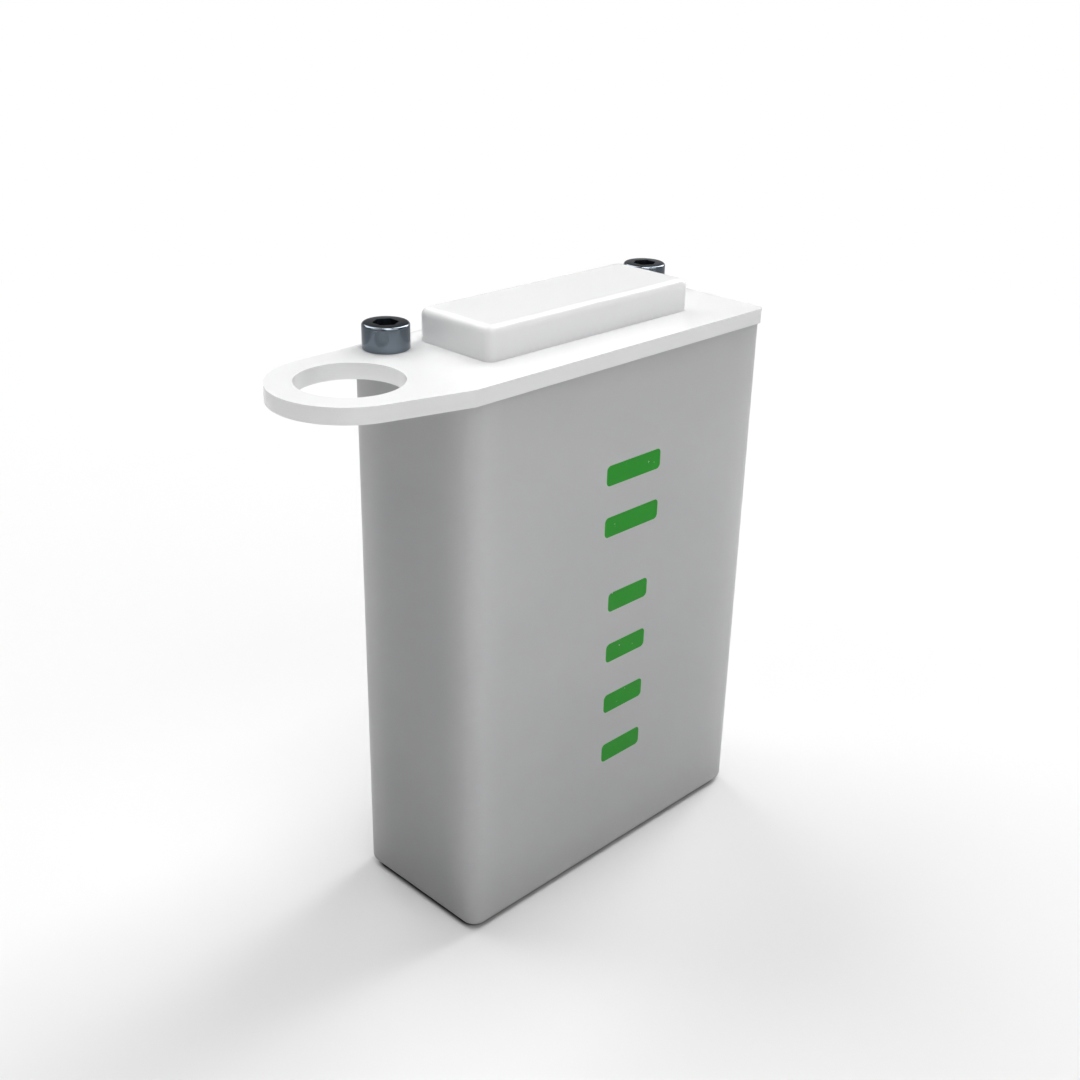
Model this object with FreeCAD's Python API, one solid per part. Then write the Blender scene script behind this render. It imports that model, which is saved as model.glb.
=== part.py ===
"""Prismatic battery cell with screw terminals, a lid plate with a pull eye and a raised vent cover.

Millimetres. +Z is up, X runs along the cell's long side, the broad printed face looks along -Y, and the pull
eye stands out past the -X end. The origin is the centre of the underside of the case.
"""
import FreeCAD, Part
import math
import os

UP = FreeCAD.Vector(0, 0, 1)

# Case: a deep-drawn aluminium can
case_length = 50.0
case_depth = 20.8
case_height = 68.5
case_wall = 0.5
case_floor = 0.8
case_corner = 1.9
case_foot = 1.0

# Lid plate and its pull eye
lid_thickness = 1.9
lid_corner = 1.0
eye_reach = 7.2
eye_shift = 1.0
eye_hole = 12.0
eye_rim = 3.0
taper_front = 0.4
taper_rear = 1.4
rib_width = 1.0
rib_depth = 1.5
rib_clearance = 0.1

# Raised cover over the vent
cover_length = 34.0
cover_depth = 12.0
cover_height = 4.0
cover_place = -0.3
cover_shift = 1.35
cover_round = 1.0
cover_roof = 1.2
cover_land = 0.8
lip_wall = 0.8
lip_clearance = 0.05
catch_length = 6.0
catch_reach = 0.4
catch_height = 0.6

# Terminal screws: M3 socket head cap screws
thread_diameter = 3.0
head_diameter = 5.5
head_height = 3.0
head_chamfer = 0.3
screw_length = 6.0
screw_tip = 0.4
screw_clearance = 0.2
thread_clearance = 0.05
socket_flats = 2.5
socket_depth = 1.6
socket_turn = 30.0

# Terminal posts, their insulating cups and seals
post_wall = 0.45
post_runout = 0.6
neck_diameter = 1.8
rivet_diameter = 2.8
rivet_height = 0.3
cup_wall = 0.4
cup_floor = 0.6
cup_clearance = 0.1
seal_wall = 0.5
seal_flange = 0.5

# Cap plate, welded into the case below the lid plate
header_space = 6.5
cap_thickness = 1.5
vent_diameter = 8.0
vent_land = 1.0
vent_rim = 0.5
vent_foil = 0.2
vent_film = 0.15
vent_film_margin = 0.6
fill_place = 9.0
fill_diameter = 1.6
plug_head = 2.8
plug_head_height = 0.5

# Insulators round the electrode stack
under_cap_thickness = 0.8
under_cap_clearance = 0.1
bag_film = 0.2
bag_clearance = 0.05
pad_thickness = 0.8
pad_clearance = 0.1
pad_slots = 3
pad_slot_width = 2.0
pad_bridge = 3.0

# Wound electrodes and current collectors
roll_clearance = 0.1
roll_headroom = 0.8
roll_end_space = 4.0
foil_length = 3.2
foil_thickness = 3.0
collector_thickness = 0.8
collector_leg_gap = 0.3
collector_leg_drop = 30.0
collector_inset = 0.3
collector_land = 1.9
collector_tongue = 1.6

# Heights, worked out from the floor up and from the rim down
cap_top = case_height - header_space
cap_bottom = cap_top - cap_thickness
under_cap_bottom = cap_bottom - under_cap_thickness
collector_bottom = under_cap_bottom - collector_thickness
lid_top = case_height + lid_thickness
pad_bottom = case_floor + bag_film
pad_top = pad_bottom + pad_thickness

# Plan sizes inside the case
inner_length = case_length - 2 * case_wall
inner_depth = case_depth - 2 * case_wall
inner_corner = case_corner - case_wall
bag_length = inner_length - 2 * bag_clearance
bag_depth = inner_depth - 2 * bag_clearance
bag_corner = inner_corner - bag_clearance
sleeve_length = bag_length - 2 * bag_film
sleeve_depth = bag_depth - 2 * bag_film
sleeve_corner = bag_corner - bag_film

# Terminals stand as close to the rear corners as their insulation lets them
post_radius = thread_diameter / 2 + thread_clearance + post_wall
cup_radius = post_radius + cup_wall
terminal_x = inner_length / 2 - cup_clearance - cup_radius
terminal_y = inner_depth / 2 - cup_clearance - cup_radius
seal_radius = neck_diameter / 2 + seal_wall

# Electrode stack
roll_thickness = sleeve_depth / 2 - roll_clearance
roll_height = collector_bottom - roll_headroom - pad_top
roll_length = sleeve_length - 2 * roll_end_space

SIDES = {"pos": 1, "neg": -1}


def point(x, y, z=0.0):
    return FreeCAD.Vector(x, y, z)


def upright(edge):
    return isinstance(edge.Curve, Part.Line) and abs(edge.Curve.Direction.z) > 0.999


def flat_at(edge, z):
    """True for an edge that lies in the level plane at z."""
    return abs(edge.BoundBox.ZMin - z) < 1e-6 and abs(edge.BoundBox.ZMax - z) < 1e-6


def slab(x_span, y_span, z_span):
    """A block between the given pairs of limits."""
    size = [max(s) - min(s) for s in (x_span, y_span, z_span)]
    return Part.makeBox(*size, point(min(x_span), min(y_span), min(z_span)))


def rounded_slab(length, depth, radius, z_span, x=0.0, y=0.0):
    """A block centred on x, y with its upright edges rounded."""
    body = slab((x - length / 2, x + length / 2), (y - depth / 2, y + depth / 2), z_span)
    return body.makeFillet(radius, [e for e in body.Edges if upright(e)])


def disc(radius, z_span, x=0.0, y=0.0):
    low = min(z_span)
    return Part.makeCylinder(radius, max(z_span) - low, point(x, y, low), UP)


def joined(first, *others):
    return first.fuse(list(others)).removeSplitter()


def case():
    """Can with rounded corners and foot, open at the rim."""
    shell = rounded_slab(case_length, case_depth, case_corner, (0, case_height))
    shell = shell.makeFillet(case_foot, [e for e in shell.Edges if flat_at(e, 0)])
    return shell.cut(rounded_slab(inner_length, inner_depth, inner_corner, (case_floor, case_height)))


def tangent_point(start, centre, radius, side):
    """Where the line from start touches the circle, on the side given by +1 or -1."""
    reach = start - centre
    heading = math.atan2(reach.y, reach.x) + side * math.acos(radius / reach.Length)
    return centre + point(radius * math.cos(heading), radius * math.sin(heading))


def lid_outline():
    """Plan of the lid plate: the case's rectangle, drawn in to a round eye at the -X end."""
    end = case_length / 2
    side = case_depth / 2
    eye = point(-end - eye_reach, eye_shift)
    radius = eye_hole / 2 + eye_rim
    front_start = point(taper_front - end, -side)
    rear_start = point(taper_rear - end, side)
    front_touch = tangent_point(front_start, eye, radius, -1)
    rear_touch = tangent_point(rear_start, eye, radius, 1)
    tip = eye - point(radius, 0)
    corners = [front_touch, front_start, point(end, -side), point(end, side), rear_start, rear_touch]
    edges = [Part.LineSegment(a, b).toShape() for a, b in zip(corners, corners[1:])]
    edges.append(Part.Arc(rear_touch, tip, front_touch).toShape())
    return Part.Face(Part.Wire(edges)), eye


def register_rib():
    """Rib under the lid plate that centres it in the case, cut away round both terminals."""
    span = (case_height - rib_depth, case_height)
    length = inner_length - 2 * rib_clearance
    depth = inner_depth - 2 * rib_clearance
    corner = inner_corner - rib_clearance
    ring = rounded_slab(length, depth, corner, span)
    x = length / 2 - rib_width
    y = depth / 2 - rib_width
    ring = ring.cut(slab((-x, x), (-y, y), span))
    room = cup_radius + rib_clearance
    for sign in SIDES.values():
        x_span = (sign * (terminal_x - room), sign * case_length / 2)
        ring = ring.cut(slab(x_span, (terminal_y - room, case_depth / 2), span))
    return ring


def cover_slab(length, depth, z_span):
    """Rounded block centred where the raised cover is."""
    return rounded_slab(length, depth, cover_round, z_span, cover_place, cover_shift)


def lid_plate():
    face, eye = lid_outline()
    face.translate(point(0, 0, case_height))
    plate = face.extrude(point(0, 0, lid_thickness))
    right_corners = [e for e in plate.Edges if upright(e) and e.BoundBox.XMin > case_length / 2 - 1e-6]
    plate = plate.makeFillet(lid_corner, right_corners)
    span = (case_height, lid_top)
    holes = [disc(eye_hole / 2, span, eye.x, eye.y)]
    for sign in SIDES.values():
        holes.append(disc(thread_diameter / 2 + screw_clearance, span, sign * terminal_x, terminal_y))
    holes.append(cover_slab(cover_length - 2 * cover_land, cover_depth - 2 * cover_land, span))
    return joined(plate.cut(holes), register_rib())


def cover():
    """Hollow raised cover with a lip through the lid plate and four catches under it."""
    span = (lid_top, lid_top + cover_height)
    shell = cover_slab(cover_length, cover_depth, span)
    shell = shell.makeFillet(cover_round, [e for e in shell.Edges if flat_at(e, span[1])])
    lip_length = cover_length - 2 * (cover_land + lip_clearance)
    lip_depth = cover_depth - 2 * (cover_land + lip_clearance)
    lip_bottom = case_height - lip_clearance - catch_height
    lip = cover_slab(lip_length, lip_depth, (lip_bottom, lid_top))
    catches = []
    for sign in (-1, 1):
        edge = sign * lip_depth / 2
        y_span = (cover_shift + edge, cover_shift + edge + sign * catch_reach)
        for place in (-1, 1):
            middle = cover_place + place * lip_length / 4
            x_span = (middle - catch_length / 2, middle + catch_length / 2)
            catches.append(slab(x_span, y_span, (lip_bottom, case_height - lip_clearance)))
    hollow_span = (lip_bottom, span[1] - cover_roof)
    half_length = lip_length / 2 - lip_wall
    half_depth = lip_depth / 2 - lip_wall
    hollow = slab(
        (cover_place - half_length, cover_place + half_length),
        (cover_shift - half_depth, cover_shift + half_depth),
        hollow_span,
    )
    return joined(shell, lip, *catches).cut(hollow)


def screw(sign):
    """Socket head cap screw, seated on the lid plate."""
    x = sign * terminal_x
    y = terminal_y
    head = disc(head_diameter / 2, (lid_top, lid_top + head_height), x, y)
    head = head.makeChamfer(head_chamfer, [e for e in head.Edges if flat_at(e, lid_top + head_height)])
    tip = lid_top - screw_length
    shank = disc(thread_diameter / 2, (tip, lid_top), x, y)
    shank = shank.makeChamfer(screw_tip, [e for e in shank.Edges if flat_at(e, tip)])
    corner = socket_flats / math.sqrt(3)
    turns = [math.radians(socket_turn + 60 * n) for n in range(7)]
    floor = lid_top + head_height - socket_depth
    corners = [point(x + corner * math.cos(t), y + corner * math.sin(t), floor) for t in turns]
    socket = Part.Face(Part.makePolygon(corners)).extrude(point(0, 0, socket_depth))
    return joined(head, shank).cut(socket)


def post(sign):
    """Threaded terminal post, riveted down through the cap plate to its collector."""
    x = sign * terminal_x
    boss = disc(post_radius, (cap_top + cup_floor, case_height), x, terminal_y)
    neck = disc(neck_diameter / 2, (collector_bottom - rivet_height, cap_top + cup_floor), x, terminal_y)
    rivet = disc(rivet_diameter / 2, (collector_bottom - rivet_height, collector_bottom), x, terminal_y)
    bore_bottom = lid_top - screw_length - post_runout
    bore = disc(thread_diameter / 2 + thread_clearance, (bore_bottom, case_height), x, terminal_y)
    return joined(boss, neck, rivet).cut(bore)


def cup(sign):
    """Insulating cup that stands on the cap plate and holds the post off the case."""
    x = sign * terminal_x
    body = disc(cup_radius, (cap_top, case_height), x, terminal_y)
    bore = disc(post_radius, (cap_top + cup_floor, case_height), x, terminal_y)
    hole = disc(neck_diameter / 2, (cap_top, cap_top + cup_floor), x, terminal_y)
    return body.cut([bore, hole])


def seal(sign):
    """Rubber sleeve round the post's neck, with a flange under the cap plate."""
    x = sign * terminal_x
    sleeve = disc(seal_radius, (under_cap_bottom, cap_top), x, terminal_y)
    flange = disc(seal_radius + seal_flange, (under_cap_bottom, cap_bottom), x, terminal_y)
    hole = disc(neck_diameter / 2, (under_cap_bottom, cap_top), x, terminal_y)
    return joined(sleeve, flange).cut(hole)


def cap_plate():
    """Aluminium cap with its two terminal holes, stepped vent opening and filling hole."""
    plate = rounded_slab(inner_length, inner_depth, inner_corner, (cap_bottom, cap_top))
    span = (cap_bottom, cap_top)
    holes = [disc(seal_radius, span, sign * terminal_x, terminal_y) for sign in SIDES.values()]
    holes.append(disc(vent_diameter / 2 - vent_land, span))
    holes.append(disc(vent_diameter / 2, (cap_top - vent_rim, cap_top)))
    holes.append(disc(fill_diameter / 2, span, fill_place))
    holes.append(disc(plug_head / 2, (cap_top - plug_head_height, cap_top), fill_place))
    return plate.cut(holes)


def vent_disc():
    """Burst disc: a stout rim round a thin foil."""
    rim = disc(vent_diameter / 2, (cap_top - vent_rim, cap_top))
    return rim.cut(disc(vent_diameter / 2 - vent_land, (cap_top - vent_rim + vent_foil, cap_top)))


def vent_cover_film():
    return disc(vent_diameter / 2 + vent_film_margin, (cap_top, cap_top + vent_film))


def fill_plug():
    stem = disc(fill_diameter / 2, (cap_bottom, cap_top), fill_place)
    return joined(stem, disc(plug_head / 2, (cap_top - plug_head_height, cap_top), fill_place))


def under_cap_insulator():
    """Moulded sheet under the cap plate, open at the seals, the vent and the filling hole."""
    span = (under_cap_bottom, cap_bottom)
    length = inner_length - 2 * under_cap_clearance
    depth = inner_depth - 2 * under_cap_clearance
    sheet = rounded_slab(length, depth, inner_corner - under_cap_clearance, span)
    holes = []
    for sign in SIDES.values():
        holes.append(disc(seal_radius + seal_flange, span, sign * terminal_x, terminal_y))
    holes.append(disc(vent_diameter / 2 - vent_land, span))
    holes.append(disc(fill_diameter / 2, span, fill_place))
    return sheet.cut(holes)


def bag():
    """Insulating film bag that lines the case up to the under-cap insulator."""
    skin = rounded_slab(bag_length, bag_depth, bag_corner, (case_floor, under_cap_bottom))
    return skin.cut(rounded_slab(sleeve_length, sleeve_depth, sleeve_corner, (pad_bottom, under_cap_bottom)))


def bottom_pad():
    """Support sheet under the rolls, with slots that let electrolyte through."""
    span = (pad_bottom, pad_top)
    length = sleeve_length - 2 * pad_clearance
    sheet = rounded_slab(length, sleeve_depth - 2 * pad_clearance, sleeve_corner - pad_clearance, span)
    pitch = (length - pad_bridge) / pad_slots
    y_span = (-pad_slot_width / 2, pad_slot_width / 2)
    slots = []
    for n in range(pad_slots):
        start = pad_bridge + n * pitch - length / 2
        slots.append(slab((start, start + pitch - pad_bridge), y_span, span))
    return sheet.cut(slots)


def roll_section(middle):
    """Racetrack cross-section of a flat-wound roll, standing in the plane X = 0."""
    radius = roll_thickness / 2
    low = pad_top + radius
    high = pad_top + roll_height - radius
    front = [point(0, middle - radius, z) for z in (low, high)]
    rear = [point(0, middle + radius, z) for z in (high, low)]
    edges = [
        Part.LineSegment(*front).toShape(),
        Part.Arc(front[1], point(0, middle, high + radius), rear[0]).toShape(),
        Part.LineSegment(*rear).toShape(),
        Part.Arc(rear[1], point(0, middle, low - radius), front[0]).toShape(),
    ]
    return Part.Face(Part.Wire(edges))


def roll(side):
    """Flat-wound electrode roll along X, with its bare foils pressed together at both ends."""
    middle = side * roll_thickness / 2
    half = roll_length / 2
    section = roll_section(middle)
    section.translate(point(-half, 0))
    wound = section.extrude(point(roll_length, 0))
    straight = (pad_top + roll_thickness / 2, pad_top + roll_height - roll_thickness / 2)
    y_span = (middle - foil_thickness / 2, middle + foil_thickness / 2)
    foils = slab((-half - foil_length, half + foil_length), y_span, straight)
    return joined(wound, foils)


def collector(sign):
    """Current collector: a top plate under the terminal and two legs down beside the foils."""
    inner_end = sign * (terminal_x - collector_land - collector_tongue)
    outer_end = sign * (sleeve_length / 2 - collector_inset)
    foil_face = (roll_thickness - foil_thickness) / 2
    rear_end = sleeve_depth / 2 - collector_inset
    length = abs(outer_end - inner_end)
    depth = rear_end + foil_face
    plate = rounded_slab(
        length,
        depth,
        sleeve_corner,
        (collector_bottom, under_cap_bottom),
        x=(inner_end + outer_end) / 2,
        y=(rear_end - foil_face) / 2,
    )
    leg_start = roll_length / 2 + collector_leg_gap
    leg_end = roll_length / 2 + foil_length
    legs = []
    for side in (-1, 1):
        y_span = (side * (foil_face - collector_thickness), side * foil_face)
        z_span = (collector_bottom - collector_leg_drop, under_cap_bottom)
        legs.append(slab((sign * leg_start, sign * leg_end), y_span, z_span))
    hole = disc(neck_diameter / 2, (collector_bottom, under_cap_bottom), sign * terminal_x, terminal_y)
    return joined(plate, *legs).cut(hole)


def build():
    nodes = {
        "case": case(),
        "lid_plate": lid_plate(),
        "vent_cover": cover(),
        "cap_plate": cap_plate(),
        "vent_disc": vent_disc(),
        "vent_film": vent_cover_film(),
        "fill_plug": fill_plug(),
        "under_cap_insulator": under_cap_insulator(),
        "insulating_bag": bag(),
        "bottom_pad": bottom_pad(),
        "electrode_roll_front": roll(-1),
        "electrode_roll_rear": roll(1),
    }
    for name, sign in SIDES.items():
        nodes["terminal_screw_" + name] = screw(sign)
        nodes["terminal_post_" + name] = post(sign)
        nodes["terminal_cup_" + name] = cup(sign)
        nodes["terminal_seal_" + name] = seal(sign)
        nodes["collector_" + name] = collector(sign)
    return nodes


os.makedirs("parts", exist_ok=True)
for node, shape in build().items():
    shape.exportStep(os.path.join("parts", node + ".step"))
    print(node, len(shape.Solids), round(shape.Volume, 2), shape.isValid())
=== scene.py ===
"""Prismatic battery cell: finishes, screws with threads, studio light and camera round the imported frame."""

import math

import bmesh
import bpy
from mathutils import Matrix, Vector

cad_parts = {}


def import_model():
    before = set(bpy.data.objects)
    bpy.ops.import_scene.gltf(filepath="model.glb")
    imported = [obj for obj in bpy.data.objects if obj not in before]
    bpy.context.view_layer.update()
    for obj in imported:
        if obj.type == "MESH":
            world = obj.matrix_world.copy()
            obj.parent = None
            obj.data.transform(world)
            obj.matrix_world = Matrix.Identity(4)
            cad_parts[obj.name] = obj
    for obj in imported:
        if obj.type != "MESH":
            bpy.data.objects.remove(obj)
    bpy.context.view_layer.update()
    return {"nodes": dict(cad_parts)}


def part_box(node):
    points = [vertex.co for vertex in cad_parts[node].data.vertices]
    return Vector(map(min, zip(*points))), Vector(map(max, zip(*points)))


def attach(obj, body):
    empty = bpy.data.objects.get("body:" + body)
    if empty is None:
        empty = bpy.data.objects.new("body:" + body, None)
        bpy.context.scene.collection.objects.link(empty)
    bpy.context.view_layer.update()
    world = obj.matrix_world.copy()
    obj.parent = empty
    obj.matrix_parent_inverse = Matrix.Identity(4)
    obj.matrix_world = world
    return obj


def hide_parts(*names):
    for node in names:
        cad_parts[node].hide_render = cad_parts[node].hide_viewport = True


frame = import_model()

MM = 0.001
WHITE = (1.0, 1.0, 1.0)
NOISE_SPREAD = (0.3, 0.7)  # the range that noise mostly stays in
BEVEL_SAMPLES = 6
EDGE_TURN = (0.98, 0.80)  # how far a softened normal agrees with the plain one, off an edge and on it


# Node trees --------------------------------------------------------------------------------------


class Graph:
    """A node tree with short calls for adding and linking nodes."""

    def __init__(self, tree):
        self.tree = tree
        tree.nodes.clear()

    def feed(self, socket, value):
        if isinstance(value, bpy.types.NodeSocket):
            self.tree.links.new(value, socket)
        elif socket.type == "RGBA" and len(value) == 3:
            socket.default_value = (*value, 1.0)
        else:
            socket.default_value = value

    def add(self, kind, inputs=None, **settings):
        node = self.tree.nodes.new(kind)
        for name, value in settings.items():
            setattr(node, name, value)
        for name, value in (inputs or {}).items():
            self.feed(node.inputs[name], value)
        return node

    def math(self, operation, *values):
        node = self.add("ShaderNodeMath", operation=operation)
        for socket, value in zip(node.inputs, values):
            self.feed(socket, value)
        return node.outputs[0]

    def remap(self, value, low, high, to_low=0.0, to_high=1.0):
        names = ("Value", "From Min", "From Max", "To Min", "To Max")
        inputs = dict(zip(names, (value, low, high, to_low, to_high)))
        return self.add("ShaderNodeMapRange", inputs).outputs["Result"]

    def spread(self, noise, to_low=0.0, to_high=1.0):
        """Noise stretched to the range from to_low to to_high."""
        return self.remap(noise, *NOISE_SPREAD, to_low, to_high)

    def mix(self, factor, a, b):
        node = self.add("ShaderNodeMix", data_type="RGBA")
        for name, value in (("Factor_Float", factor), ("A_Color", a), ("B_Color", b)):
            socket = next(s for s in node.inputs if s.identifier == name)
            self.feed(socket, value)
        return next(s for s in node.outputs if s.identifier == "Result_Color")

    def noise(self, scale, detail=2.0, roughness=0.5, stretch=None):
        """Noise over the object's own coordinates, in features per metre."""
        where = self.add("ShaderNodeTexCoord").outputs["Object"]
        if stretch:
            where = self.add("ShaderNodeMapping", {"Vector": where, "Scale": stretch}).outputs["Vector"]
        inputs = {"Vector": where, "Scale": scale, "Detail": detail, "Roughness": roughness}
        return self.add("ShaderNodeTexNoise", inputs).outputs["Fac"]

    def bump(self, height, distance, normal=None):
        inputs = {"Height": height, "Distance": distance, "Strength": 1.0}
        if normal:
            inputs["Normal"] = normal
        return self.add("ShaderNodeBump", inputs).outputs["Normal"]

    def edges(self, radius):
        """1 on convex and concave edges within radius, 0 on open faces."""
        soft = self.add("ShaderNodeBevel", {"Radius": radius}, samples=BEVEL_SAMPLES).outputs["Normal"]
        plain = self.add("ShaderNodeNewGeometry").outputs["Normal"]
        dot = self.add("ShaderNodeVectorMath", operation="DOT_PRODUCT")
        self.feed(dot.inputs[0], soft)
        self.feed(dot.inputs[1], plain)
        return self.remap(dot.outputs["Value"], *EDGE_TURN)


def material(name):
    """A new material, its node tree and its shader."""
    made = bpy.data.materials.new(name)
    made.use_nodes = True
    graph = Graph(made.node_tree)
    shader = graph.add("ShaderNodeBsdfPrincipled")
    out = graph.add("ShaderNodeOutputMaterial")
    graph.tree.links.new(shader.outputs["BSDF"], out.inputs["Surface"])
    return made, graph, shader


def dress(made, *names):
    """Puts a material on every slot of the named CAD nodes."""
    for name in names:
        mesh = frame["nodes"][name].data
        for index in range(len(mesh.materials)):
            mesh.materials[index] = made
        if not mesh.materials:
            mesh.materials.append(made)


# Finishes ----------------------------------------------------------------------------------------

PRINT_GREEN = (0.0100, 0.315, 0.0100)
PRINT_MIDDLE = 1.15 * MM
PRINT_ROWS = (  # middle height and half width of each printed bar
    (55.0, 4.8),
    (48.3, 4.8),
    (37.9, 3.6),
    (30.7, 3.6),
    (23.3, 3.6),
    (15.9, 3.6),
)
PRINT_HALF_HEIGHT = 1.3 * MM
PRINT_CORNER = 0.6 * MM
PRINT_EDGE = 0.03 * MM
PRINT_DEPTH = 0.01 * MM
PRINT_SPECKS = (0.270, 0.285)  # noise below this leaves a bare speck in the print
PRINT_POLISH = 0.08  # how much less rough the print is than the case
CASE_FACE = (0.553, 0.555, 0.557)
# painted shade: the narrow sides get a darker grey for the shade they lie in
CASE_SIDE_SHADE = (0.390, 0.391, 0.393)
# painted light: lighter grey at the upright corners, also the colour of the rubbed edges
CASE_CORNER_LIGHT_AND_WEAR = (0.64, 0.64, 0.65)
CASE_CLOUDS = 0.05  # largest share of white in the case's faint clouds
CASE_ROUGHNESS = (0.42, 0.52)
CASE_GLOSS = 0.2
CORNER_LIGHT_ALONG = (5.0 * MM, 0.5 * MM)  # in from the case's end: where the painted corner light starts and is full
CORNER_LIGHT_SHARE = 0.3
SIDE_SHADE_ACROSS = (6.4 * MM, 0.0)  # in from the broad face: where the narrow side's painted shade starts to give way
SIDE_SHADE_POWER = 2.0
RUBBED_EDGE = 0.4 * MM
RUBBED_SHARE = 0.35
CASE_SCATTER = 12.0 * MM
BELOW_RIM = (18.0 * MM, 2.0 * MM)  # depths below the case's rim between which the scattering falls
SCATTER_BELOW_RIM = (1.0, 0.4)
ABOVE_FOOT = (0.3 * MM, 6.0 * MM)  # heights above the foot between which it rises
SCATTER_ABOVE_FOOT = (0.1, 1.0)
WHITE_DARK = (0.893, 0.896, 0.898)
WHITE_LIGHT = (0.908, 0.909, 0.909)
WHITE_ROUGHNESS = (0.11, 0.16)
WHITE_EDGE = 0.06 * MM
LID_SCATTER = 0.1 * MM
COVER_SCATTER = 0.3 * MM
STEEL_DARK = (0.145, 0.172, 0.202)
STEEL_LIGHT = (0.160, 0.188, 0.220)
STEEL_ROUGHNESS = (0.15, 0.19)
# painted highlight: lighter steel on the head's rim
RIM_HIGHLIGHT_STEEL = (0.45, 0.50, 0.56)
RIM_HIGHLIGHT_SHARE = 0.45
RIM_LOW = (0.2, 0.5)  # upward part of the normal where the painted rim highlight starts on the head's side
RIM_HIGH = (0.98, 0.85)  # and where it ends on the head's top
# painted shade: the socket's steel is much darker than the head's, for the shade in the recess
SOCKET_SHADED_DARK = (0.060, 0.076, 0.096)
SOCKET_SHADED_LIGHT = (0.075, 0.093, 0.115)
FINE_GRAIN = 0.001 * MM
GRAIN = 0.002 * MM
COARSE_GRAIN = 0.003 * MM
FOIL_LAYER = 0.01 * MM


def place(graph):
    """The x, y and z of a point in the object's own frame."""
    where = graph.add("ShaderNodeTexCoord").outputs["Object"]
    return graph.add("ShaderNodeSeparateXYZ", {"Vector": where}).outputs


def beyond(graph, a, half_a, b, half_b, corner):
    """Distance outside a rectangle with rounded corners, from the distances a and b to its middle lines."""
    over_a = graph.math("MAXIMUM", graph.math("SUBTRACT", a, half_a - corner), 0.0)
    over_b = graph.math("MAXIMUM", graph.math("SUBTRACT", b, half_b - corner), 0.0)
    squares = [graph.math("MULTIPLY", over, over) for over in (over_a, over_b)]
    away = graph.math("SQRT", graph.math("ADD", *squares))
    return graph.math("SUBTRACT", away, corner)


def printed_bars(graph, front):
    """1 inside the level bars printed on the face in front of the plane y = front."""
    x, y, z = place(graph)
    across = graph.math("ABSOLUTE", graph.math("SUBTRACT", x, PRINT_MIDDLE))
    nearest = None
    for height, half_width in PRINT_ROWS:
        up = graph.math("ABSOLUTE", graph.math("SUBTRACT", z, height * MM))
        gap = beyond(graph, across, half_width * MM, up, PRINT_HALF_HEIGHT, PRINT_CORNER)
        nearest = graph.math("MINIMUM", nearest, gap) if nearest else gap
    inside = graph.remap(nearest, PRINT_EDGE, 0.0)
    on_face = graph.math("LESS_THAN", y, front)
    specks = graph.remap(graph.noise(scale=1500.0, detail=4.0, roughness=0.6), *PRINT_SPECKS)
    return graph.math("MULTIPLY", graph.math("MULTIPLY", inside, on_face), specks)


def scatter(shader, reach):
    """Light that spreads inside a milky plastic before it comes out again."""
    shader.subsurface_method = "BURLEY"
    shader.inputs["Subsurface Weight"].default_value = 1.0
    shader.inputs["Subsurface Radius"].default_value = (1.0, 1.0, 1.0)
    shader.inputs["Subsurface Scale"].default_value = reach


def case_finish():
    """Fine satin grey jacket with the printed bars, painted shade on the narrow sides and painted light at
    the upright corners and ends.
    """
    made, graph, shader = material("case_satin")
    low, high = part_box("case")
    cloud = graph.noise(scale=60.0, detail=3.0)
    grain = graph.noise(scale=9000.0)
    x, y, z = place(graph)
    # painted light towards the case's ends, painted shade in the middle of the narrow sides
    along = graph.remap(graph.math("ABSOLUTE", x), *(high.x - inset for inset in CORNER_LIGHT_ALONG))
    across = graph.remap(graph.math("ABSOLUTE", y), *(high.y - inset for inset in SIDE_SHADE_ACROSS))
    across = graph.math("POWER", across, SIDE_SHADE_POWER)
    grey = graph.mix(graph.math("MULTIPLY", along, CORNER_LIGHT_SHARE), CASE_FACE, CASE_CORNER_LIGHT_AND_WEAR)
    grey = graph.mix(across, CASE_SIDE_SHADE, grey)
    grey = graph.mix(graph.spread(cloud, 0.0, CASE_CLOUDS), grey, WHITE)
    grey = graph.mix(graph.math("MULTIPLY", graph.edges(RUBBED_EDGE), RUBBED_SHARE), grey, CASE_CORNER_LIGHT_AND_WEAR)
    mark = printed_bars(graph, low.y + PRINT_DEPTH)
    graph.feed(shader.inputs["Base Color"], graph.mix(mark, grey, PRINT_GREEN))
    satin = graph.spread(grain, *CASE_ROUGHNESS)
    polish = graph.math("MULTIPLY", mark, PRINT_POLISH)
    graph.feed(shader.inputs["Roughness"], graph.math("SUBTRACT", satin, polish))
    shader.inputs["Specular IOR Level"].default_value = CASE_GLOSS
    scatter(shader, CASE_SCATTER)
    below_rim = graph.remap(z, *(high.z - depth for depth in BELOW_RIM), *SCATTER_BELOW_RIM)
    above_foot = graph.remap(z, *ABOVE_FOOT, *SCATTER_ABOVE_FOOT)
    graph.feed(shader.inputs["Subsurface Weight"], graph.math("MINIMUM", below_rim, above_foot))
    graph.feed(shader.inputs["Normal"], graph.bump(grain, GRAIN))
    return made


def white_finish(name, reach):
    """Glossy white moulded plastic with a faint mould grain."""
    made, graph, shader = material(name)
    cloud = graph.noise(scale=90.0, detail=3.0)
    grain = graph.noise(scale=6000.0, detail=3.0)
    graph.feed(shader.inputs["Base Color"], graph.mix(graph.spread(cloud), WHITE_DARK, WHITE_LIGHT))
    graph.feed(shader.inputs["Roughness"], graph.spread(grain, *WHITE_ROUGHNESS))
    scatter(shader, reach)
    soft = graph.add("ShaderNodeBevel", {"Radius": WHITE_EDGE}, samples=BEVEL_SAMPLES).outputs["Normal"]
    graph.feed(shader.inputs["Normal"], graph.bump(grain, FINE_GRAIN, normal=soft))
    return made


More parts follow.
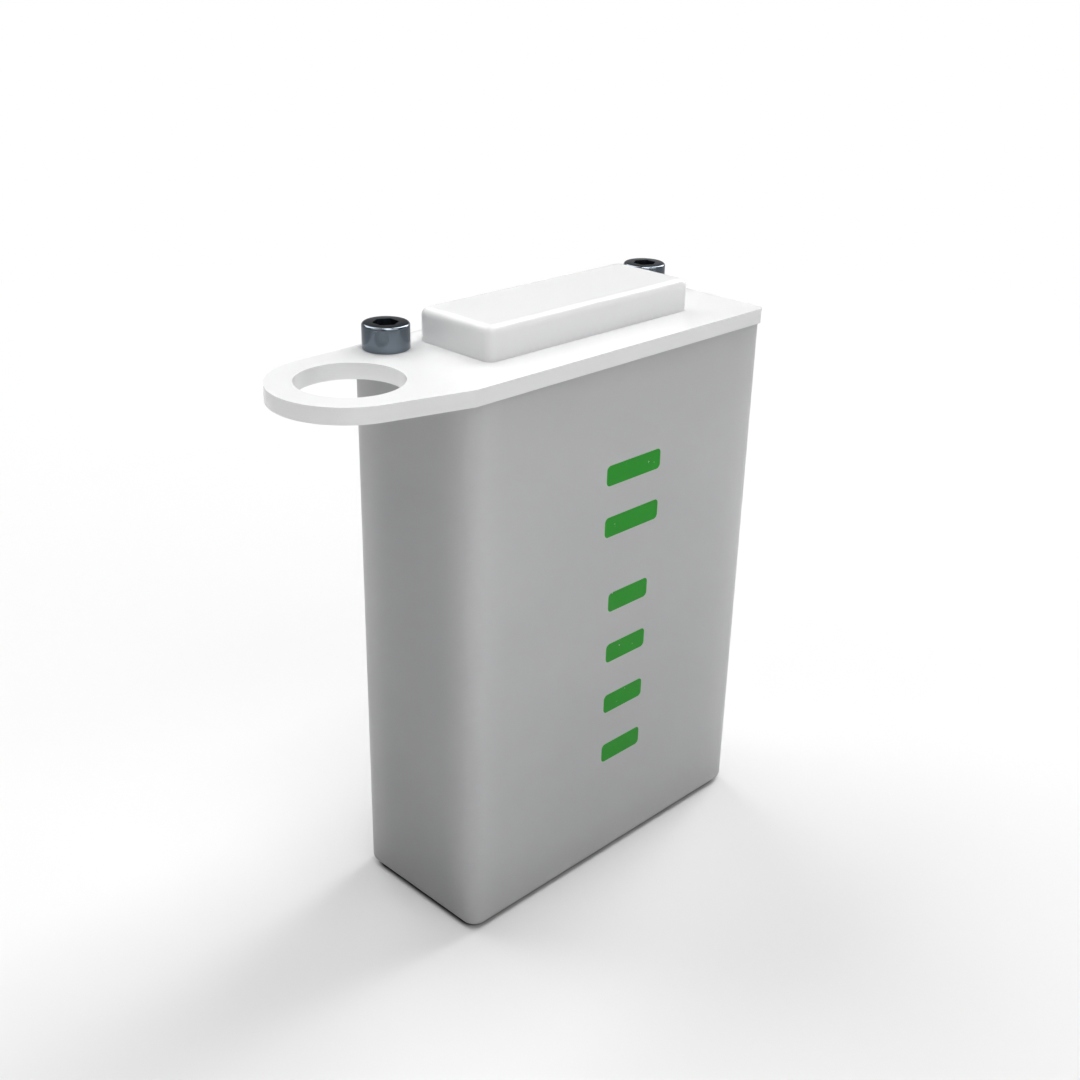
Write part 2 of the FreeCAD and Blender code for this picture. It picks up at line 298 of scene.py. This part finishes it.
def screw_finish():
    """Polished blue-black oxide on steel, with faint clouds and a painted highlight on the head's rim."""
    made, graph, shader = material("screw_steel")
    cloud = graph.noise(scale=700.0, detail=3.0)
    steel = graph.mix(graph.spread(cloud), STEEL_DARK, STEEL_LIGHT)
    normal = graph.add("ShaderNodeNewGeometry").outputs["Normal"]
    upward = graph.add("ShaderNodeSeparateXYZ", {"Vector": normal}).outputs["Z"]
    # painted highlight on the rim, where the normal turns between the head's side and top
    rim = graph.math("MULTIPLY", graph.remap(upward, *RIM_LOW), graph.remap(upward, *RIM_HIGH))
    steel = graph.mix(graph.math("MULTIPLY", rim, RIM_HIGHLIGHT_SHARE), steel, RIM_HIGHLIGHT_STEEL)
    graph.feed(shader.inputs["Base Color"], steel)
    shader.inputs["Metallic"].default_value = 1.0
    graph.feed(shader.inputs["Roughness"], graph.spread(cloud, *STEEL_ROUGHNESS))
    return made


def metal_finish(name, dark, light, roughness):
    """Bare rolled metal with a fine grain along one way. roughness is the lowest and the highest."""
    made, graph, shader = material(name)
    grain = graph.noise(scale=3000.0, detail=3.0, stretch=(1.0, 0.1, 0.1))
    cloud = graph.noise(scale=200.0, detail=3.0)
    graph.feed(shader.inputs["Base Color"], graph.mix(graph.spread(cloud), dark, light))
    shader.inputs["Metallic"].default_value = 1.0
    graph.feed(shader.inputs["Roughness"], graph.spread(grain, *roughness))
    graph.feed(shader.inputs["Normal"], graph.bump(grain, GRAIN))
    return made


def moulded_finish(name, dark, light, roughness):
    """Moulded plastic, film or rubber with a matt grain. roughness is the lowest and the highest."""
    made, graph, shader = material(name)
    grain = graph.noise(scale=4000.0, detail=3.0)
    cloud = graph.noise(scale=250.0, detail=3.0)
    graph.feed(shader.inputs["Base Color"], graph.mix(graph.spread(cloud), dark, light))
    graph.feed(shader.inputs["Roughness"], graph.spread(grain, *roughness))
    graph.feed(shader.inputs["Normal"], graph.bump(grain, COARSE_GRAIN))
    return made


def electrode_finish():
    """Dark coated foil under clear tape, with fine wound layers on the ends."""
    made, graph, shader = material("electrode_foil")
    layers = graph.noise(scale=4000.0, stretch=(0.02, 1.0, 0.02))
    grey = graph.mix(graph.remap(layers, 0.4, 0.6), (0.05, 0.05, 0.055), (0.16, 0.16, 0.17))
    graph.feed(shader.inputs["Base Color"], grey)
    shader.inputs["Metallic"].default_value = 0.3
    graph.feed(shader.inputs["Roughness"], graph.spread(layers, 0.45, 0.6))
    graph.feed(shader.inputs["Normal"], graph.bump(layers, FOIL_LAYER))
    return made


screw_steel = screw_finish()
# painted shade in the socket: a darker copy of the screw's steel
shaded_socket_steel = metal_finish("shaded_socket_steel", SOCKET_SHADED_DARK, SOCKET_SHADED_LIGHT, (0.28, 0.43))
aluminium = metal_finish("bare_aluminium", (0.72, 0.72, 0.73), (0.80, 0.80, 0.81), (0.25, 0.40))
copper = metal_finish("bare_copper", (0.72, 0.36, 0.22), (0.82, 0.45, 0.30), (0.25, 0.40))
insulator = moulded_finish("insulator_moulding", (0.70, 0.70, 0.66), (0.76, 0.76, 0.72), (0.45, 0.57))
blue_film = moulded_finish("blue_film", (0.16, 0.36, 0.56), (0.20, 0.42, 0.62), (0.18, 0.30))
rubber = moulded_finish("seal_rubber", (0.02, 0.02, 0.02), (0.04, 0.04, 0.04), (0.60, 0.72))

dress(case_finish(), "case")
dress(white_finish("lid_white", LID_SCATTER), "lid_plate")
dress(white_finish("cover_white", COVER_SCATTER), "vent_cover")
dress(aluminium, "cap_plate", "vent_disc", "fill_plug", "terminal_post_pos", "collector_pos")
dress(copper, "terminal_post_neg", "collector_neg")
dress(insulator, "terminal_cup_pos", "terminal_cup_neg", "under_cap_insulator", "bottom_pad")
dress(blue_film, "insulating_bag", "vent_film")
dress(rubber, "terminal_seal_pos", "terminal_seal_neg")
dress(electrode_finish(), "electrode_roll_front", "electrode_roll_rear")


# Terminal screws ---------------------------------------------------------------------------------

AROUND = 96
HEAD_ROUND = 0.32 * MM
HEAD_STEPS = 8
FOOT_CHAMFER = 0.1 * MM
SOCKET_FLATS = 2.68 * MM
SOCKET_DEPTH = 1.6 * MM
SOCKET_TURN = 30.0
SOCKET_RINGS = 2
SOCKET_CONE = 0.25 * MM
POINT_SHARE = 0.02  # width of a cone's blunt point, as a share of the whole
SHARP_ANGLE = 35.0
THREAD_PITCH = 0.5 * MM
THREAD_DEPTH = 0.28 * MM
THREAD_STEPS = 12
HEAD_HEIGHT = 3.0 * MM
SHANK_RADIUS = 1.5 * MM
TIP_CHAMFER = 0.4 * MM


def hexagon_reach(angle, flats):
    """Distance from the centre of a hexagon to its side, at an angle from one of its corners."""
    side = 360.0 / 6
    within = angle % side - side / 2
    return flats / 2 / math.cos(math.radians(within))


def screw_rings(low, high):
    """Rings of points, from the socket's floor over the head and down the thread to the tip."""
    head_radius = (high.x - low.x) / 2
    top = high.z
    seat = top - HEAD_HEIGHT
    angles = [360.0 * n / AROUND for n in range(AROUND)]

    def hexagon(z, share=1.0):
        return [(share * hexagon_reach(a - SOCKET_TURN, SOCKET_FLATS), z) for a in angles]

    def circle(radius, z):
        return [(radius, z)] * AROUND

    bottom = top - SOCKET_DEPTH
    rings = [hexagon(bottom - SOCKET_CONE, POINT_SHARE), hexagon(bottom), hexagon(top)]
    for step in range(HEAD_STEPS + 1):
        turn = math.radians(90.0 * step / HEAD_STEPS)
        radius = head_radius - HEAD_ROUND * (1 - math.sin(turn))
        rings.append(circle(radius, top - HEAD_ROUND * (1 - math.cos(turn))))
    rings.append(circle(head_radius, seat + FOOT_CHAMFER))
    rings.append(circle(head_radius - FOOT_CHAMFER, seat))
    rings.append(circle(SHANK_RADIUS, seat))
    run = seat - low.z
    count = int(run / THREAD_PITCH) * THREAD_STEPS
    for step in range(1, count + 1):
        z = seat - run * step / count
        fade = min(1.0, (seat - z) / THREAD_PITCH)
        limit = SHANK_RADIUS - max(0.0, low.z + TIP_CHAMFER - z)
        ring = []
        for angle in angles:
            phase = ((seat - z) / THREAD_PITCH + angle / 360.0) % 1.0
            cut = THREAD_DEPTH * fade * (1 - abs(2 * phase - 1))
            ring.append((min(SHANK_RADIUS - cut, limit), z))
        rings.append(ring)
    rings.append(circle(POINT_SHARE * SHANK_RADIUS, low.z))
    return rings, angles


def threaded_screw(name, node, body):
    """Socket head cap screw with a rounded rim and a cut thread, in the place of the plain solid."""
    low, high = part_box(node)
    centre = (low + high) / 2
    rings, angles = screw_rings(low, high)
    mesh = bmesh.new()
    rows = []
    for ring in rings:
        row = []
        for angle, (radius, z) in zip(angles, ring):
            turn = math.radians(angle)
            point = (centre.x + radius * math.cos(turn), centre.y + radius * math.sin(turn), z)
            row.append(mesh.verts.new(point))
        rows.append(row)
    for level, (upper, lower) in enumerate(zip(rows, rows[1:])):
        for n in range(AROUND):
            m = (n + 1) % AROUND
            face = mesh.faces.new((upper[n], upper[m], lower[m], lower[n]))
            face.material_index = 1 if level < SOCKET_RINGS else 0
    mesh.faces.new(reversed(rows[0])).material_index = 1
    mesh.faces.new(rows[-1])
    bmesh.ops.recalc_face_normals(mesh, faces=mesh.faces)
    data = bpy.data.meshes.new(name)
    mesh.to_mesh(data)
    mesh.free()
    data.shade_smooth()
    data.set_sharp_from_angle(angle=math.radians(SHARP_ANGLE))
    data.materials.append(screw_steel)
    data.materials.append(shaded_socket_steel)
    piece = bpy.data.objects.new(name, data)
    bpy.context.scene.collection.objects.link(piece)
    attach(piece, body)
    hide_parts(node)


threaded_screw("cap_screw_pos", "terminal_screw_pos", "screw_pos")
threaded_screw("cap_screw_neg", "terminal_screw_neg", "screw_neg")


# Studio: floor, world and lamps ------------------------------------------------------------------

FLOOR_REACH = 4.0
FLOOR_GAP = 0.40 * MM  # the floor lies this far below the cell
SHADOW_REACH = (0.16, 0.34)  # distances between which the seen floor fades to plain white
CONTACT_INSET = (0.5 * MM, 0.9 * MM)  # the painted contact shadow's sides, in from the case's ends and broad faces
CONTACT_CORNER = 1.9 * MM
CONTACT_SOFT = 0.25 * MM
CONTACT_SHADE = 0.03
FLOOR_SEEN = 0.805  # the floor's grey to the camera and in gloss
FLOOR_BOUNCE = (0.50, 0.92)  # its grey as it lights the cell, near and far, darker near the cell as painted shade
BOUNCE_REACH = (0.03, 0.16)
FLOOR_MIRRORED = 0.45  # brightness of the far floor in gloss
HORIZON_SEEN = 0.6  # brightness of the studio in gloss, level with the cell and overhead
OVERHEAD_SEEN = 0.09
OVERHEAD_FROM = 0.3  # upward part of a ray's way where the studio is as dim as overhead
LAMP_TARGET = Vector((0.0, 0.0, 0.03))
LAMP_DISTANCE = 1.5


def seen_directly(graph):
    """1 for rays from the camera, or seen in gloss or through glass."""
    path = graph.add("ShaderNodeLightPath").outputs
    shown = graph.math("MAXIMUM", path["Is Camera Ray"], path["Is Glossy Ray"])
    return graph.math("MAXIMUM", shown, path["Is Transmission Ray"])


def floor():
    """Pale floor that turns plain white far off, with a painted contact shadow under the cell."""
    data = bpy.data.meshes.new("studio_floor")
    r = FLOOR_REACH
    data.from_pydata([(-r, -r, 0), (r, -r, 0), (r, r, 0), (-r, r, 0)], [], [(0, 1, 2, 3)])
    obj = bpy.data.objects.new("studio_floor", data)
    obj.location.z = -FLOOR_GAP
    bpy.context.scene.collection.objects.link(obj)
    made = bpy.data.materials.new("studio_floor")
    made.use_nodes = True
    graph = Graph(made.node_tree)
    seen = seen_directly(graph)
    where = graph.add("ShaderNodeTexCoord").outputs["Object"]
    away = graph.add("ShaderNodeVectorMath", {0: where}, operation="LENGTH").outputs["Value"]
    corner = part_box("case")[1]
    half_x = corner.x - CONTACT_INSET[0]
    half_y = corner.y - CONTACT_INSET[1]
    x, y, _ = place(graph)
    # painted shadow: the floor goes dark under the cell's foot
    gap = beyond(
        graph, graph.math("ABSOLUTE", x), half_x, graph.math("ABSOLUTE", y), half_y, CONTACT_CORNER
    )
    open_floor = graph.remap(gap, -CONTACT_SOFT, CONTACT_SOFT, CONTACT_SHADE, 1.0)
    fade = graph.math("MULTIPLY", graph.remap(away, *SHADOW_REACH), seen)
    # painted shade: the floor that lights the cell is darker close to it
    bounce = graph.remap(away, *BOUNCE_REACH, *FLOOR_BOUNCE)
    shade = graph.math("MULTIPLY", graph.remap(seen, 0.0, 1.0, bounce, FLOOR_SEEN), open_floor)
    grey = graph.add("ShaderNodeCombineColor", {"Red": shade, "Green": shade, "Blue": shade})
    lit = graph.add("ShaderNodeBsdfDiffuse", {"Color": grey.outputs["Color"]}).outputs["BSDF"]
    direct = graph.add("ShaderNodeLightPath").outputs["Is Camera Ray"]
    far = graph.remap(direct, 0.0, 1.0, FLOOR_MIRRORED, 1.0)
    white = graph.add("ShaderNodeEmission", {"Color": WHITE, "Strength": far}).outputs["Emission"]
    both = graph.add("ShaderNodeMixShader", {0: fade, 1: lit, 2: white}).outputs["Shader"]
    graph.add("ShaderNodeOutputMaterial", {"Surface": both})
    data.materials.append(made)


def world():
    """White behind the cell, dimmer in reflections, and no light of its own."""
    made = bpy.data.worlds.new("studio")
    made.use_nodes = True
    graph = Graph(made.node_tree)
    path = graph.add("ShaderNodeLightPath").outputs
    ray = graph.add("ShaderNodeTexCoord").outputs["Generated"]
    up = graph.add("ShaderNodeSeparateXYZ", {"Vector": ray}).outputs["Z"]
    mirrored = graph.remap(up, 0.0, OVERHEAD_FROM, HORIZON_SEEN, OVERHEAD_SEEN)
    gloss = graph.math("MAXIMUM", path["Is Glossy Ray"], path["Is Transmission Ray"])
    level = graph.math("MAXIMUM", graph.math("MULTIPLY", gloss, mirrored), path["Is Camera Ray"])
    back = graph.add("ShaderNodeBackground", {"Color": WHITE, "Strength": level})
    graph.add("ShaderNodeOutputWorld", {"Surface": back.outputs["Background"]})
    bpy.context.scene.world = made


def softbox(name, heading, elevation, width, height, level):
    """A rectangular lamp aimed at the cell.

    heading turns from +X towards +Y. width and height are shares of the distance, and level is the lamp's
    share of a white floor's brightness.
    """
    turn = math.radians(heading)
    rise = math.radians(elevation)
    way = Vector((math.cos(turn) * math.cos(rise), math.sin(turn) * math.cos(rise), math.sin(rise)))
    lamp = bpy.data.lights.new(name, "AREA")
    lamp.shape = "RECTANGLE"
    lamp.size = width * LAMP_DISTANCE
    lamp.size_y = height * LAMP_DISTANCE
    lamp.energy = level * (math.pi * LAMP_DISTANCE) ** 2 / math.sin(rise)
    obj = bpy.data.objects.new(name, lamp)
    obj.location = LAMP_TARGET + way * LAMP_DISTANCE
    obj.rotation_euler = way.to_track_quat("Z", "Y").to_euler()
    bpy.context.scene.collection.objects.link(obj)


floor()
world()
softbox("right_box", 2.0, 43.0, 0.46, 1.06, 0.488)
softbox("rear_box", 95.0, 49.5, 0.90, 0.65, 0.414)
softbox("front_box", -97.0, 35.0, 1.02, 0.62, 0.141)
softbox("left_box", 180.0, 40.0, 0.80, 0.60, 0.066)
softbox("top_box", -106.0, 79.0, 0.32, 0.55, 0.350)


# Camera ------------------------------------------------------------------------------------------

AZIMUTH = -45.51
ELEVATION = 24.457
ROLL = 1.241
DISTANCE = 176.25 * MM
AIM = Vector((-4.112, 0.0, 43.537)) * MM
LENS = 46.735
SENSOR = 36.0
CLIP = (0.005, 50.0)


def camera():
    """The camera, aimed from the cell's front left corner, a little above it."""
    data = bpy.data.cameras.new("camera")
    data.lens = LENS
    data.sensor_width = SENSOR
    data.clip_start, data.clip_end = CLIP
    turn = math.radians(AZIMUTH)
    rise = math.radians(ELEVATION)
    back = Vector((math.sin(turn) * math.cos(rise), -math.cos(turn) * math.cos(rise), math.sin(rise)))
    right = Vector((0.0, 0.0, 1.0)).cross(back).normalized()
    up = back.cross(right)
    tilt = math.radians(ROLL)
    across = right * math.cos(tilt) + up * math.sin(tilt)
    upward = up * math.cos(tilt) - right * math.sin(tilt)
    stand = Matrix((across, upward, back)).transposed().to_4x4()
    stand.translation = AIM + back * DISTANCE
    obj = bpy.data.objects.new("camera", data)
    obj.matrix_world = stand
    bpy.context.scene.collection.objects.link(obj)
    bpy.context.scene.camera = obj


camera()
bpy.context.scene.view_settings.view_transform = "Standard"
